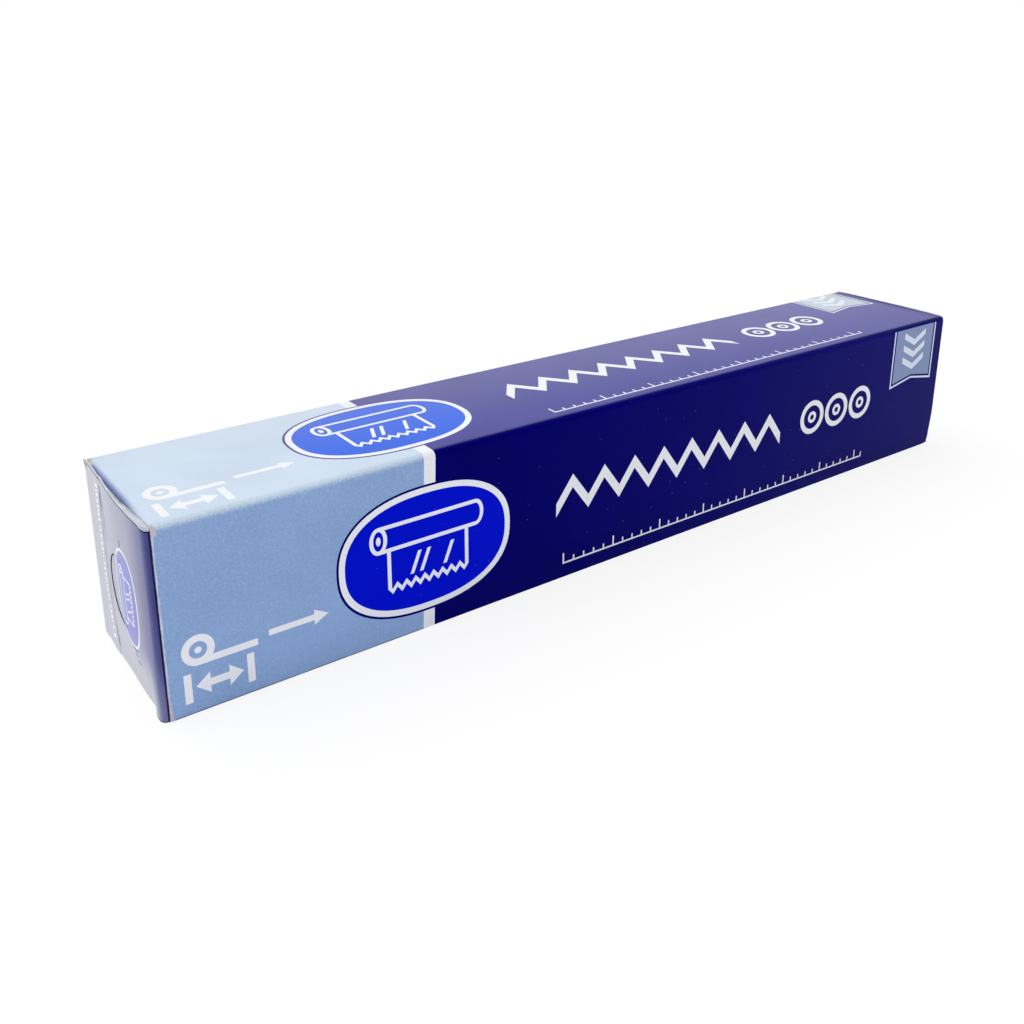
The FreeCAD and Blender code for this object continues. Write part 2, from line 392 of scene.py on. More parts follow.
def varnished_ink(name, upright, painted_sheen_colour, ior, mottle=0.06, specks=0.0, grain=0.0, gleam="#8a8ac0",
                  painted_sheen=FOLD_SHEEN, pressed="", on_end=False):
    """An ink under varnish, in its upright colour and in a paler one, painted where the sheen would fall.
    specks is how much dust shows, grain how far the pale fibres stand out, and gleam tints its mirror."""
    material, tree = new_material(name)
    place = add_node(tree, "ShaderNodeTexCoord").outputs["Object"]
    fibre = add_node(tree, "ShaderNodeTexNoise", {"Scale": per_metre(FIBRE_MM), "Detail": 2.0},
                     {"Vector": place}).outputs[0]
    cloud = add_node(tree, "ShaderNodeTexNoise", {"Scale": per_metre(CLOUD_MM), "Detail": 2.0},
                     {"Vector": place}).outputs[0]
    if on_end:
        colour = end_painted_sheen(tree, place, upright, painted_sheen_colour)
    else:
        colour = lid_painted_sheen(tree, place, fibre, upright, painted_sheen_colour, *painted_sheen, pressed)
    shade = ramp(tree, reckon(tree, "ADD", fibre, cloud), MOTTLE_RANGE, 1 - mottle, 1 + mottle)
    colour = add_node(tree, "ShaderNodeVectorMath", links={0: colour, 1: shade},
                      operation="MULTIPLY").outputs[0]
    if grain:
        colour = blend(tree, ramp(tree, fibre, PALE_FIBRES, 0.0, grain), colour, "#ffffff")
    if specks:
        dust = add_node(tree, "ShaderNodeTexVoronoi", {"Scale": per_metre(SPECK_MM)}, {"Vector": place})
        few = smooth_ramp(tree, dust.outputs["Distance"], SPECK_EDGE, 0.0, specks, unit=1.0)
        colour = blend(tree, few, colour, DUST_COLOUR)
    ripple = add_node(tree, "ShaderNodeBump", {"Strength": RIPPLE, "Distance": RIPPLE_MM * MM},
                      {"Height": fibre})
    swell = add_node(tree, "ShaderNodeBump", {"Strength": SWELL, "Distance": SWELL_MM * MM},
                     {"Height": cloud, "Normal": ripple.outputs[0]})
    shader = add_node(tree, "ShaderNodeBsdfPrincipled",
                      {"Roughness": VARNISH_ROUGHNESS, "IOR": ior, "Specular Tint": linear(gleam)},
                      {"Base Color": colour, "Normal": swell.outputs[0]})
    add_node(tree, "ShaderNodeOutputMaterial", links={"Surface": shader.outputs[0]})
    return material


# Raw boxboard shows where it was cut: recycled grey fibre between paler liners, matt and slightly rough.
RAW_ROUGHNESS, RAW_IOR = 0.85, 1.45
RAW_FIBRE_MM = 0.35
BLOTCH_MM = 4.0
BLOTCH_RANGE = (0.75, 1.25)
FUZZ, FUZZ_MM = 0.6, 0.06


def raw_boxboard(name, pale, dark):
    """The cut edge or the uncoated side of the board. In dark colours it is painted shadow instead."""
    material, tree = new_material(name)
    place = add_node(tree, "ShaderNodeTexCoord").outputs["Object"]
    fibre = add_node(tree, "ShaderNodeTexNoise", {"Scale": per_metre(RAW_FIBRE_MM), "Detail": 4.0},
                     {"Vector": place}).outputs[0]
    blotch = add_node(tree, "ShaderNodeTexNoise", {"Scale": per_metre(BLOTCH_MM), "Detail": 2.0},
                      {"Vector": place}).outputs[0]
    share = ramp(tree, reckon(tree, "ADD", fibre, blotch), BLOTCH_RANGE)
    bump = add_node(tree, "ShaderNodeBump", {"Strength": FUZZ, "Distance": FUZZ_MM * MM}, {"Height": fibre})
    shader = add_node(tree, "ShaderNodeBsdfPrincipled", {"Roughness": RAW_ROUGHNESS, "IOR": RAW_IOR},
                      {"Base Color": blend(tree, share, dark, pale), "Normal": bump.outputs[0]})
    add_node(tree, "ShaderNodeOutputMaterial", links={"Surface": shader.outputs[0]})
    return material


raw_board = raw_boxboard("raw_boxboard_edge", "#e4e8f0", "#c0c5d0")
worn_board = raw_boxboard("worn_boxboard_fibre", "#dccfd9", "#bfafba")
curled_board = raw_boxboard("curled_boxboard_liner", "#ddd6d0", "#a8a098")
# The next two are painted shadow: in cuts and splits, in gaps and under edges, and also a few small dark
# marks.
shadow_and_marks_board = raw_boxboard("painted_shadow_and_dark_marks", "#2a2a48", "#14122c")
lid_shadow = raw_boxboard("edge_line_in_shadow", "#66709a", "#3c446c")
# The lid's cut edge: pale fibre with a painted highlight on it.
pale_edge_with_highlight = raw_boxboard("pale_boxboard_edge_painted_highlight", "#d3dcf8", "#b2bce4")
INKS = {"worn": worn_board, "curled": curled_board, "shadow_and_marks": shadow_and_marks_board, "line": lid_shadow, "pale": pale_edge_with_highlight}
# Each ink's own colour on the sides, and the paler colour of its painted sheen on the lid's top. On the sky
# blue, pressed is the painted shade on the lid's pressed-down left edge.
for ink, finish, side, sheen, settings in (
        ("sky", "light_blue", "#90afde", "#cfe1f3", {"mottle": 0.07, "grain": 0.09, "gleam": "#c0c0e0",
                                                     "painted_sheen": (-2.4, 0.4, 0.35), "pressed": "#4a66aa"}),
        ("navy", "navy", "#01006a", "#3a3a98", {"mottle": 0.12, "specks": 0.7, "gleam": "#101050",
                                               "painted_sheen": (1.3, 2.9, 0.15)}),
        ("royal", "royal_blue", "#0012d6", "#0060ea", {"mottle": 0.04, "specks": 0.5, "gleam": "#101060"}),
        ("white", "white", "#f6f8ff", "#f8fafe", {"mottle": 0.03, "gleam": "#c0c0e0"}),
        ("frost", "frost_blue", "#e2ebfd", "#eef3fc", {"mottle": 0.03, "gleam": "#c0c0e0"}),
        ("dusk", "grey_blue", "#8a9bc4", "#c4d2dd", {"mottle": 0.05})):
    INKS[ink] = varnished_ink(f"{finish}_ink_varnished_painted_sheen", side, sheen, SIDE_IOR, **settings)
    INKS[ink + "_top"] = varnished_ink(f"{finish}_ink_polished_painted_sheen", side, sheen, TOP_IOR, **settings)
INKS["ground"] = INKS["navy"]

# The print is laid out from the lid's left edge and from the front fold or the base, the same art on the
# lid's front and top. Bands, a badge with a picture of a roll, marks for length and width, a cutter's
# zigzag with roll ends, a plain scale, and a ribbon with arrowheads: simple shapes only.
CURVE_STEP = 0.7


def bar(x0, z0, x1, z1, lean=0.0):
    """A rectangle, its upper side leaning to the right."""
    return [(x0, z0), (x1, z0), (x1 + lean, z1), (x0 + lean, z1)]


def oval(x, z, half_x, half_z, power=2.0):
    """An ellipse, or with a higher power one with fuller corners."""
    count = max(16, int(2 * math.pi * max(half_x, half_z) / CURVE_STEP))
    turns = [2 * math.pi * i / count for i in range(count)]
    return [(x + half_x * math.copysign(abs(math.cos(a)) ** (2 / power), math.cos(a)),
             z + half_z * math.copysign(abs(math.sin(a)) ** (2 / power), math.sin(a))) for a in turns]


def arrow(x0, x1, z, half_shaft, half_head, head):
    """A straight arrow from x0 to x1."""
    way = 1 if x1 > x0 else -1
    neck = x1 - way * head
    return [(x0, z - half_shaft), (neck, z - half_shaft), (neck, z - half_head), (x1, z),
            (neck, z + half_head), (neck, z + half_shaft), (x0, z + half_shaft)]


def torn_sheet(left, right, top, foot, teeth, tooth):
    """A hanging sheet with a toothed lower edge."""
    step = (right - left) / teeth
    shape = [(right, top), (left, top), (left, foot)]
    for i in range(teeth):
        shape += [(left + step * (i + 0.5), foot - tooth), (left + step * (i + 1), foot)]
    return shape


BADGE_AT = (73.9, 24.7)
BADGE_HALF = (27.4, 18.3)
BADGE_POWER = 2.35
BADGE_BORDER = 1.75
BADGE_OUTLINE = 0.7
LINE = 1.15
ROLL_AT = 6.4
ROLL_HALF = 4.0
ROLL_END = 15.5
ROLL_END_HALF = 2.7
CORE_HALF = (0.7, 1.3)
SHEET_HALF = 13.0
SHEET_FOOT = -8.6
SHEET_TEETH, SHEET_TOOTH = 9, 1.8
TORN_LINE = 1.4 * LINE
GLINTS_AT = (-6.0, -3.0, 4.6)
GLINT_FOOT, GLINT_TOP, GLINT_LEAN = -6.2, 0.2, 2.6


def roll_picture(ground):
    """A roll of foil in outline with its sheet drawn down, about the origin."""
    shapes = [(ink, torn_sheet(-SHEET_HALF, SHEET_HALF, ROLL_AT, foot, SHEET_TEETH, SHEET_TOOTH))
              for ink, foot in (("white", SHEET_FOOT), (ground, SHEET_FOOT + TORN_LINE))]
    for x in (-SHEET_HALF, SHEET_HALF - LINE):
        shapes.append(("white", bar(x, SHEET_FOOT, x + LINE, ROLL_AT)))
    for ink, edge in (("white", 0.0), (ground, LINE)):
        half = ROLL_HALF - edge
        shapes += [(ink, bar(-ROLL_END, ROLL_AT - half, ROLL_END, ROLL_AT + half)),
                   (ink, oval(ROLL_END, ROLL_AT, ROLL_END_HALF - edge, half))]
    shapes += [("white", oval(-ROLL_END, ROLL_AT, ROLL_END_HALF, ROLL_HALF)),
               (ground, oval(-ROLL_END, ROLL_AT, ROLL_END_HALF - LINE, ROLL_HALF - LINE)),
               ("white", oval(-ROLL_END, ROLL_AT, *CORE_HALF))]
    for x in GLINTS_AT:
        shapes.append(("white", bar(x, GLINT_FOOT, x + LINE, GLINT_TOP, GLINT_LEAN)))
    return shapes


def badge(x, z, half_x, half_z, fill, scale=1.0):
    """The badge: dark outline, white border, blue field and its picture."""
    shapes = []
    for ink, edge in (("navy", BADGE_OUTLINE), ("white", 0.0), (fill, -BADGE_BORDER)):
        shapes.append((ink, oval(x, z, half_x + edge * scale, half_z + edge * scale, BADGE_POWER)))
    for ink, shape in roll_picture(fill):
        shapes.append((ink, [(x + a * scale, z + b * scale) for a, b in shape]))
    return shapes


COIL_AT = (8.2, 17.3)
COIL_RADIUS, COIL_HOLLOW, COIL_CORE = 4.2, 2.3, 0.9
UNROLLED_FOOT, UNROLLED_TO, UNROLLED_TOP = 13.1, 23.4, 15.0
LENGTH_ARROW = (26.4, 43.0, 15.4)
LENGTH_HEAD = (0.85, 2.2, 4.0)
STOPS_AT = (4.0, 20.2)
STOP_FOOT, STOP_TOP, STOP_WIDTH = 3.4, 11.5, 1.9
WIDTH_AT = (13.05, 7.45)
WIDTH_TIPS = (6.9, 19.2)
WIDTH_HEAD = (1.0, 2.9, 3.7)


def size_marks():
    """Length and width, as a roll with an arrow and an arrow between two stops."""
    shapes = [("white", oval(*COIL_AT, COIL_RADIUS, COIL_RADIUS)),
              ("white", bar(COIL_AT[0], UNROLLED_FOOT, UNROLLED_TO, UNROLLED_TOP)),
              ("sky", oval(*COIL_AT, COIL_HOLLOW, COIL_HOLLOW)),
              ("white", oval(*COIL_AT, COIL_CORE, COIL_CORE)),
              ("white", arrow(*LENGTH_ARROW, *LENGTH_HEAD))]
    for x in STOPS_AT:
        shapes.append(("white", bar(x, STOP_FOOT, x + STOP_WIDTH, STOP_TOP)))
    for tip in WIDTH_TIPS:
        shapes.append(("white", arrow(WIDTH_AT[0], tip, WIDTH_AT[1], *WIDTH_HEAD)))
    return shapes


def zigzag(left, right, teeth, foot, top, stroke):
    """A band that goes up and down in straight strokes."""
    step = (right - left) / teeth / 2
    tall = stroke * math.hypot(step, top - foot) / step
    heights = [top - tall if i % 2 else foot for i in range(2 * teeth + 1)]
    lower = [(left + step * i, z) for i, z in enumerate(heights)]
    return lower + [(x, z + tall) for x, z in lower[::-1]]


TITLE_FOOT, TITLE_TOP = 21.1, 33.7
TEETH_FROM, TEETH_TO, TEETH = 118.4, 217.8, 8
TITLE_STROKE = 1.9
RINGS_AT = (234.6, 248.1, 261.6)
RING_WALL, RING_CORE, RING_HOLE = 1.9, 2.2, 1.0
SCALE_FROM, SCALE_TO = 121.2, 265.2
SCALE_FOOT = 4.7
SCALE_PITCH = 4.0
SCALE_LINE = 0.55
SCALE_TICK, SCALE_LONG_TICK = 2.0, 3.6
TICKS_TO_LONG = 5


def title_marks():
    """A cutter's zigzag and three roll ends, and a plain scale under them."""
    shapes = [("white", zigzag(TEETH_FROM, TEETH_TO, TEETH, TITLE_FOOT, TITLE_TOP, TITLE_STROKE))]
    half = (TITLE_TOP - TITLE_FOOT) / 2
    for x in RINGS_AT:
        for ink, radius in (("white", half), ("navy", half - RING_WALL), ("white", RING_CORE),
                            ("navy", RING_HOLE)):
            shapes.append((ink, oval(x, TITLE_FOOT + half, radius, radius)))
    shapes.append(("white", bar(SCALE_FROM, SCALE_FOOT, SCALE_TO, SCALE_FOOT + SCALE_LINE)))
    for i in range(int((SCALE_TO - SCALE_FROM) / SCALE_PITCH) + 1):
        x = SCALE_FROM + i * SCALE_PITCH
        tall = SCALE_TICK if i % TICKS_TO_LONG else SCALE_LONG_TICK
        shapes.append(("white", bar(x, SCALE_FOOT, x + SCALE_LINE, SCALE_FOOT + tall)))
    return shapes


RIBBON_LEFT, RIBBON_RIGHT = 279.4, 305.2
RIBBON_TIP = 28.6
RIBBON_NOTCH = 30.9
KEYLINE = 0.7
INSET = 0.75
TIP_MITRE = 1.25
HEADS_AT = (34.4, 39.2, 44.0)
HEAD_HALF = 6.5
HEAD_ARM, HEAD_CROTCH, HEAD_TOP = 3.4, 2.4, 5.8


def ribbon(root):
    """A swallow-tailed ribbon that hangs from root down to its tips, with arrowheads on it."""
    shapes = []
    for ink, edge in (("frost", 0.0), ("navy", KEYLINE), ("dusk", KEYLINE + INSET)):
        left, right = RIBBON_LEFT + edge, RIBBON_RIGHT - edge
        tip, notch = RIBBON_TIP + edge * TIP_MITRE, RIBBON_NOTCH + edge
        shapes.append((ink, [(left, root), (left, tip), ((left + right) / 2, notch), (right, tip),
                             (right, root)]))
    middle = (RIBBON_LEFT + RIBBON_RIGHT) / 2
    left, right = middle - HEAD_HALF, middle + HEAD_HALF
    for base in HEADS_AT:
        arm, crotch, top = base + HEAD_ARM, base + HEAD_CROTCH, base + HEAD_TOP
        shapes.append(("frost", [(left, arm), (middle, base), (right, arm), (right, top), (middle, crotch),
                                 (left, top)]))
    return shapes


def on_front(shapes):
    """Shapes laid out on the lid's front, moved to their place on the flat sheet."""
    return [(ink, [(x - LID_HALF, z - HEM_RISE) for x, z in shape]) for ink, shape in shapes]


def on_top(shapes):
    """Shapes laid out from the front fold, moved to the lid's top, in the inks of the top."""
    start = panel_start["lid_top"] - FOLD
    return [(ink + "_top", [(x - LID_HALF, start + z) for x, z in shape]) for ink, shape in shapes]


RAGGED_POINTS = 15
RAGGED_DEPTH = 0.45


def ragged(along, run, half_along, half_run):
    """An uneven patch."""
    shape = []
    for i in range(RAGGED_POINTS):
        turn, far = 2 * math.pi * i / RAGGED_POINTS, 1 - RAGGED_DEPTH * random.random()
        shape.append((along + half_along * far * math.cos(turn), run + half_run * far * math.sin(turn)))
    return shape


random.seed(3)
STRIPE_LEFT, STRIPE_RIGHT = 73.1, 76.7
STRIPE_LEAN = 1.5
OVER = 1.0
TOP_LAP = 0.5
RIBBON_ROUND = 0.2
RIBBON_GAP = 0.2
left_edge, past_left = -LID_HALF, -LID_HALF - OVER
lid_end = panel_start["bottom"] - QUARTER * FOLD / 2
stripe_from, stripe_end = STRIPE_LEFT - LID_HALF, STRIPE_RIGHT - LID_HALF
front_fold = panel_start["lid_top"] - QUARTER * FOLD / 2
back_fold = panel_start["back"] - QUARTER * FOLD / 2
top_from = panel_start["lid_top"] - TOP_LAP
top_to = panel_start["back"] - QUARTER * FOLD + TOP_LAP
stripe_edge = [(stripe_end - STRIPE_LEAN, -OVER), (stripe_end, front_fold), (stripe_end, lid_end)]
prints = [("sky", [(past_left, -OVER)] + stripe_edge + [(past_left, lid_end)]),
          ("white", stripe_edge + [(stripe_from, lid_end), (stripe_from, front_fold),
                                   (stripe_from - STRIPE_LEAN, -OVER)]),
          ("navy_top", bar(stripe_end, top_from, LID_HALF + OVER, top_to)),
          ("sky_top", bar(past_left, top_from, stripe_end, top_to)),
          ("white_top", bar(stripe_from, top_from, stripe_end, top_to))]
art = badge(*BADGE_AT, *BADGE_HALF, "royal") + size_marks() + title_marks()
front_root = HEIGHT - FOLD + QUARTER * FOLD * RIBBON_ROUND
top_root = DEPTH - RIBBON_GAP
prints += on_front(art) + on_top(art) + on_front(ribbon(front_root)) + on_top(ribbon(top_root))

# Where the sheet's left corners were knocked the ink is gone and pinkish fibre shows, and up the front the
# cut edge shows as a thin pale line of fibre with a painted highlight. At the back the liner has curled and
# split, the split dark with painted shadow. A dark line of painted shadow runs where the lid's cut edge lies
# over the flaps, and one under the hem as far as the white stripe.
WORN_WIDTH, WORN_TAPER, WORN_UNEVEN, WORN_STEP, WORN_POINTS = 0.75, 0.06, 0.25, 0.7, 12
PALE_WIDTH, PALE_UNEVEN, PALE_FROM, PALE_STEP, PALE_POINTS = 0.24, 0.28, 7.0, 1.1, 40
HEM_LINE_FROM, HEM_LINE = 1.2, 0.26
worn_foot = [(left_edge + WORN_WIDTH - WORN_TAPER * i + WORN_UNEVEN * random.random(), WORN_STEP * i)
             for i in range(WORN_POINTS)]
pale_side = [(left_edge + PALE_WIDTH + PALE_UNEVEN * random.random(), PALE_FROM + PALE_STEP * i)
             for i in range(PALE_POINTS)]
prints += [("pale", [(past_left, PALE_FROM)] + pale_side + [(past_left, pale_side[-1][1])]),
           ("line", [(past_left, front_fold + 2.0), (left_edge + 0.1, front_fold + 2.0),
                     (left_edge + 0.24, back_fold - 12.0), (left_edge + 0.3, back_fold),
                     (past_left, back_fold)]),
           ("worn", ragged(left_edge + 0.45, front_fold - 0.5, 1.2, 2.1)),
           ("worn", [(past_left, -OVER), (left_edge + 0.9, -OVER)] + worn_foot[1:]
            + [(past_left, worn_foot[-1][1])]),
           ("line", bar(HEM_LINE_FROM - LID_HALF, -OVER, stripe_from - STRIPE_LEAN, HEM_LINE)),
           ("curled", ragged(left_edge + 0.2, back_fold - 0.5, 2.5, 2.1)),
           ("curled", ragged(left_edge, back_fold - 3.6, 1.1, 3.4)),
           ("shadow_and_marks", ragged(left_edge + 1.3, back_fold - 1.0, 0.7, 0.35)),
           ("shadow_and_marks", [(past_left, back_fold - 0.5), (left_edge + 1.0, back_fold + 0.3),
                     (left_edge + 0.9, back_fold + 0.6), (past_left, back_fold - 0.1)])]

# The die cut the sheet's ends with a slightly furred line. The bottom and the inner front are narrower than
# the lid, and the hem's right corner is crushed round. Grid lines lie closer along the folds and the edges.
FUR = 0.09
FUR_STEP = 1.6
BOTTOM_INSET = 0.4
FRONT_INSET = 2.0
CRUSH = 3.0
CRUSH_STEPS = 6
EDGE_STEPS = 6
PRESS_ROWS, CURL_ROWS = 9, 7
inner_start = panel_start["inner_front"] - QUARTER * BASE_FOLD
alongs = [GRID_STEP * i - LID_HALF for i in range(1, int(LID_LENGTH / GRID_STEP) + 1)]
alongs += [PRESS_WIDTH * i / EDGE_STEPS - LID_HALF for i in range(1, PRESS_ROWS + 1)]
alongs += [LID_HALF - CURL_WIDTH * i / EDGE_STEPS for i in range(1, CURL_ROWS + 1)]
acrosses = []
for panel, flat, fold in PANELS:
    start = panel_start[panel]
    count = int(flat / GRID_STEP)
    acrosses += [start + FOLD_SUPPORT, start + flat - FOLD_SUPPORT]
    acrosses += [start + flat * i / count for i in range(1, count)]
    acrosses += [start + flat + QUARTER * fold * i / FOLD_STEPS for i in range(FOLD_STEPS + 1) if fold]


def furred(side):
    """Points up one cut end of the sheet, a little in and out of line."""
    runs = [run for run in acrosses if run < lid_end] + [FUR_STEP * i for i in range(int(lid_end / FUR_STEP))]
    ends = [0.0] + sorted(runs) + [lid_end]
    return [(side * (LID_HALF - FUR * random.random()), run) for run in ends]


bottom_half, inner_half = LID_HALF - BOTTOM_INSET, LID_HALF - FRONT_INSET
hem_corner = [(LID_HALF - CRUSH * (1 - math.sin(a)), CRUSH * (1 - math.cos(a)))
              for a in (QUARTER * i / CRUSH_STEPS for i in range(CRUSH_STEPS))]
right_end = hem_corner + [(along, run) for along, run in furred(1) if run > CRUSH]
outline = right_end + [(bottom_half, lid_end), (bottom_half, inner_start), (inner_half, inner_start),
                       (inner_half, sheet_width), (-inner_half, sheet_width), (-inner_half, inner_start),
                       (-bottom_half, inner_start), (-bottom_half, lid_end)] + furred(-1)[::-1]
flat_sheet = cut_sheet(outline, prints, sorted(set(alongs)), sorted(set(acrosses)))
sleeve = fold_sheet("carton_sleeve", flat_sheet, sleeve_place, BOARD, INKS, raw_board)
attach(sleeve, "root")
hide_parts("foil_carton")

# Each end is closed by glued flaps. The outer one turns round the front fold from under the lid, bows out
# and steps over the edge of the hidden flap from the back. A curved cut frees the tab that holds the roll.
FLAP_FOOT = 0.05
FLAP_TOP = HEIGHT - 0.2
FLAP_CORNER = 0.9
CORNER_WIDTH = 3.2
FOOT_RISE = 0.35
FOOT_FROM, FOOT_GROWS = 3.0, 8.0
ROOT_LAP = 0.1
ROOT_RUN = FRONT_INSET - ROOT_LAP + FLAP_REACH - FOLD
FLAP_TURN = ROOT_RUN + QUARTER * FOLD
TAB_AT = (24.0, 25.6)
TAB_RADIUS = 9.5
TAB_CUT = 0.32
TAB_CREASE = 21.6
TAB_PUSH = 0.22
TAB_SLOPE = 6.0
TAB_STEPS = 36
TUCK = 1.25
TUCK_HEIGHT = 20.0
TUCK_FROM, TUCK_GROWS, TUCK_ENDS = 3.6, 5.0, 6.0
TUCK_WANES, TUCK_WANE_WIDTH, TUCK_LOST = 24.0, 18.0, 0.75
CORNER_LIFT, CORNER_LIFT_WIDTH = 0.35, 2.6
SLOPE_STEP = 0.2


def tuck(back, up):
    """How far the flap's lower part is pressed in at a place."""
    grown = ease((back - TUCK_FROM) / TUCK_GROWS)
    kept = 1 - TUCK_LOST * ease((back - TUCK_WANES) / TUCK_WANE_WIDTH)
    share = grown * kept * ease((FLAP_BACK - back) / TUCK_ENDS)
    return TUCK * share * ease((TUCK_HEIGHT - up) / TUCK_HEIGHT)


def in_tab(back, up):
    """How far the tab is pushed in at a place, as a share, and 0 outside its curved cut."""
    rim = TAB_RADIUS - math.hypot(back - TAB_AT[0], up - TAB_AT[1])
    return ease((back - TAB_CREASE) / TAB_SLOPE) if rim > 0 and back > TAB_CREASE else 0.0


def flap_place(side, inward=0.0):
    """Where the outer flap's outside is at one end, or a surface further in. The flat flap is laid out
    from the front face back."""
    def place(back, up):
        run = back - FLAP_START + FLAP_TURN
        lean = foot_lean(up) if side > 0 else 0.0
        if run < ROOT_RUN:
            past = run + ROOT_LAP - FRONT_INSET - lean
            return Vector((side * (LID_HALF + past), INNER_FRONT_Y, up)), Vector((0, -1, 0))
        if run < FLAP_TURN:
            turn = (run - ROOT_RUN) / FOLD
            way = Vector((side * math.sin(turn), -math.cos(turn), 0))
            pivot = Vector((side * (LID_HALF + (FLAP_REACH - FOLD - lean)), INNER_FRONT_Y + FOLD, up))
            return pivot + way * (FOLD - inward), way
        slope = (reach(back + SLOPE_STEP) - reach(back - SLOPE_STEP)) / (2 * SLOPE_STEP)
        out = Vector((side, -slope, 0)).normalized()
        past = reach(back) - tuck(back, up) - TAB_PUSH * in_tab(back, up)
        if side < 0:
            past += CORNER_LIFT * ease(1 - math.hypot(FLAP_BACK - back, FLAP_TOP - up) / CORNER_LIFT_WIDTH)
        past -= lean
        return Vector((side * (LID_HALF + past), FRONT_Y + back, up)) - out * inward, out
    return place


# The ends show the varnish's sheen most, painted into the colour: the ink goes from navy at the fold through
# grey violet to a pale lilac at the back, in faint upright streaks.
END_INKS = {"shadow_and_marks": shadow_and_marks_board, "curled": curled_board}
for ink, finish, upright, painted_sheen_colour in (
        ("navy", "navy", "#0a0768", ("#6c6fa2", "#a6a9c2", "#c8c8d6")),
        ("royal", "royal_blue", "#1a1ac0", ("#626ac8", "#858cda", "#a2a8e2")),
        ("white", "white", "#f2f2fa", ("#f4f4fc", "#f6f6fc", "#f8f8fc")),
        ("shade_and_scuff", "shaded_and_scuffed_navy", "#14125a", ("#3c3f66", "#54576e", "#5c5f72")),
        ("edge", "painted_shade_navy", "#0a0758", ("#1a1c50", "#24264e", "#2e3050"))):
    END_INKS[ink] = varnished_ink(f"{finish}_ink_on_end_painted_sheen", upright, painted_sheen_colour, TOP_IOR, mottle=0.05, on_end=True)
END_INKS["ground"] = END_INKS["navy"]


def tab_arc(radius):
    """Points along the tab's curved cut, from its lower end to its upper end."""
    half = math.acos((TAB_CREASE - TAB_AT[0]) / radius)
    turns = [-half + 2 * half * i / TAB_STEPS for i in range(TAB_STEPS + 1)]
    return [(TAB_AT[0] + radius * math.cos(a), TAB_AT[1] + radius * math.sin(a)) for a in turns]


# On each outer flap stands the badge, turned on its side, and a line of short uneven strokes behind the
# ridge. Along the ridge a dark streak is painted shade of its step, the varnish is scuffed in front of it,
# and painted shade darkens the top edge. A streak's numbers are its distance from the front, its foot and
# top, its width and how far it drifts.
END_BADGE_AT = (18.5, 26.0)
END_BADGE_HALF = (13.4, 8.5)
END_SCALE = 0.46
STROKE_FROM, STROKE_TO = 49.6, 5.0
STROKE_NEAR, STROKE_FAR = 37.4, 41.2
STROKE_NEAR_UNEVEN, STROKE_FAR_UNEVEN = 1.2, 1.0
STROKE_SLANT = 0.7
STROKE_THICK = (0.45, 1.2)
STROKE_GAPS = (0.3, 0.45, 0.6, 1.5)
RIDGE_BOW = 1.4
STREAK_STEP = 1.3
STREAK_UNEVEN = (0.5, 1.2)
RIDGE_SHADE_AND_SCUFFS = ((RIDGE_AT - 0.5, 26.0, 49.8, 0.55, 0.35), (RIDGE_AT - 0.3, 3.0, 25.0, 0.4, 0.25),
          (34.1, 38.0, 49.0, 0.3, 0.4), (33.2, 34.5, 46.0, 0.4, 0.2),
          (32.2, 39.5, 42.5, 0.45, 0.1), (31.0, 35.5, 38.5, 0.35, 0.1))
SMALL_BARS = ((19.4, 39.8, 19.9, 41.6), (15.3, 12.1, 19.2, 12.5), (14.2, 8.8, 17.5, 9.2),
              (16.0, 10.4, 18.2, 10.75))
FOLD_SHADOW = 0.35
TOP_SHADE_DEPTH = 0.42
TOP_SHADE_GAP = 2.0
FOOT_LINE = 0.3
FOOT_LINE_TO = 5.5
end_prints = []
for ink, shape in badge(0, 0, *END_BADGE_HALF, "royal", END_SCALE):
    end_prints.append((ink, [(END_BADGE_AT[0] + b, END_BADGE_AT[1] - a) for a, b in shape]))
stroke_top = STROKE_FROM
while stroke_top > STROKE_TO:
    thick = random.uniform(*STROKE_THICK)
    bow = RIDGE_BOW * math.sin(math.pi * stroke_top / HEIGHT)
    near = STROKE_NEAR + bow + random.uniform(0.0, STROKE_NEAR_UNEVEN)
    far = STROKE_FAR + bow * 0.5 - random.uniform(0.0, STROKE_FAR_UNEVEN)
    far_top = stroke_top - STROKE_SLANT
    end_prints.append(("white", [(near, stroke_top), (far, far_top), (far, far_top - thick),
                                 (near, stroke_top - thick)]))
    stroke_top -= thick + random.choice(STROKE_GAPS)


def shade_and_scuff(back, foot, top, width, drift):
    """A thin uneven upright streak."""
    count = int((top - foot) / STREAK_STEP) + 1
    ups = [foot + (top - foot) * i / count for i in range(count + 1)]
    near = [(back + drift * random.random() + RIDGE_BOW * math.sin(math.pi * up / HEIGHT), up) for up in ups]
    return near + [(edge + width * random.uniform(*STREAK_UNEVEN), up) for edge, up in near[::-1]]


root_back = FLAP_START - FLAP_TURN
fold_back = FLAP_START - QUARTER * FOLD
end_prints += [("shade_and_scuff", shade_and_scuff(*streak)) for streak in RIDGE_SHADE_AND_SCUFFS]
# Small dark marks, drawn in the painted shadow's colour.
end_prints += [("shadow_and_marks", bar(*mark)) for mark in SMALL_BARS]
